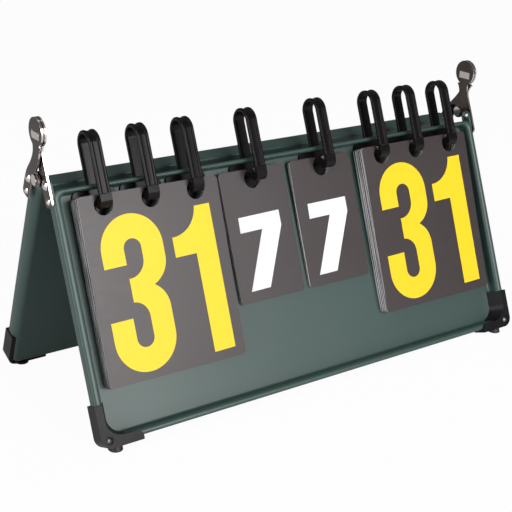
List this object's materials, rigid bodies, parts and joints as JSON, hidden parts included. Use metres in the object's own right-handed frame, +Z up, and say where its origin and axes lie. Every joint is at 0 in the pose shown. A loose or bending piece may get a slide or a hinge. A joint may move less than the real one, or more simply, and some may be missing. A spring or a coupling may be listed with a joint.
{
  "type": "tabletop flip scoreboard",
  "caption": "Folding tabletop scoreboard: two shallow green trays hinged at the top by finger levers, with flip number cards on black ring loops.",
  "frame": {"origin": "on the table plane, under the middle of the open board", "axes": "+X to the right along the board, +Y away from the card side, +Z up"},
  "size_m": [0.4114, 0.1764, 0.2245],
  "materials": {
    "tray_green": "satin",
    "guard_black": "satin",
    "foot_rubber": "matt",
    "bright_nickel": "polished",
    "dark_screw": "satin",
    "ring_black": "gloss",
    "card_black": "satin",
    "score_yellow": "satin",
    "set_white": "satin"
  },
  "bodies": {
    "front_frame": {"front_panel": "tray_green", "front_left_corner_guard": "guard_black", "front_right_corner_guard": "guard_black", "front_left_foot": "foot_rubber", "front_right_foot": "foot_rubber", "front_guard_screws": "dark_screw", "front_left_lever": "bright_nickel", "front_right_lever": "bright_nickel", "left_pivot_rivet": "bright_nickel", "right_pivot_rivet": "bright_nickel", "front_lever_rivets": "bright_nickel", "ring_loop_1": "ring_black", "ring_loop_2": "ring_black", "ring_loop_3": "ring_black", "ring_loop_4": "ring_black", "ring_loop_5": "ring_black", "ring_loop_6": "ring_black", "ring_loop_7": "ring_black", "ring_loop_8": "ring_black", "ring_base_1": "ring_black", "ring_base_2": "ring_black", "ring_base_3": "ring_black", "ring_base_4": "ring_black", "ring_base_5": "ring_black", "ring_base_6": "ring_black", "ring_base_7": "ring_black", "ring_base_8": "ring_black", "ring_base_rivets": "dark_screw", "left_score_pack": "card_black", "left_set_pack": "card_black", "right_set_pack": "card_black", "right_score_pack": "card_black"},
    "rear_frame": {"rear_panel": "tray_green", "rear_left_corner_guard": "guard_black", "rear_right_corner_guard": "guard_black", "rear_left_foot": "foot_rubber", "rear_right_foot": "foot_rubber", "rear_guard_screws": "dark_screw", "rear_left_lever": "bright_nickel", "rear_right_lever": "bright_nickel", "rear_lever_rivets": "bright_nickel", "rear_lever_spacers": "bright_nickel"},
    "left_score_flip": {"left_score_card": "card_black", "left_score_numeral": "score_yellow"},
    "left_set_flip": {"left_set_card": "card_black", "left_set_numeral": "set_white"},
    "right_set_flip": {"right_set_card": "card_black", "right_set_numeral": "set_white"},
    "right_score_flip": {"right_score_card": "card_black", "right_score_numeral": "score_yellow"}
  },
  "joints": [
    {"name": "fold", "type": "hinge", "parent": "front_frame", "child": "rear_frame", "pos_m": [0, 0, 0.179], "axis": [-1, 0, 0], "range_deg": [0, 44]},
    {"name": "left_score_flip", "type": "hinge", "parent": "front_frame", "child": "left_score_flip", "pos_m": [0, -0.02416, 0.17021], "axis": [-1, 0, 0], "range_deg": [0, 140]},
    {"name": "left_set_flip", "type": "hinge", "parent": "front_frame", "child": "left_set_flip", "pos_m": [0, -0.01787, 0.17241], "axis": [-1, 0, 0], "range_deg": [0, 140]},
    {"name": "right_set_flip", "type": "hinge", "parent": "front_frame", "child": "right_set_flip", "pos_m": [0, -0.01787, 0.17241], "axis": [-1, 0, 0], "range_deg": [0, 140]},
    {"name": "right_score_flip", "type": "hinge", "parent": "front_frame", "child": "right_score_flip", "pos_m": [0, -0.02416, 0.17021], "axis": [-1, 0, 0], "range_deg": [0, 140]}
  ]
}
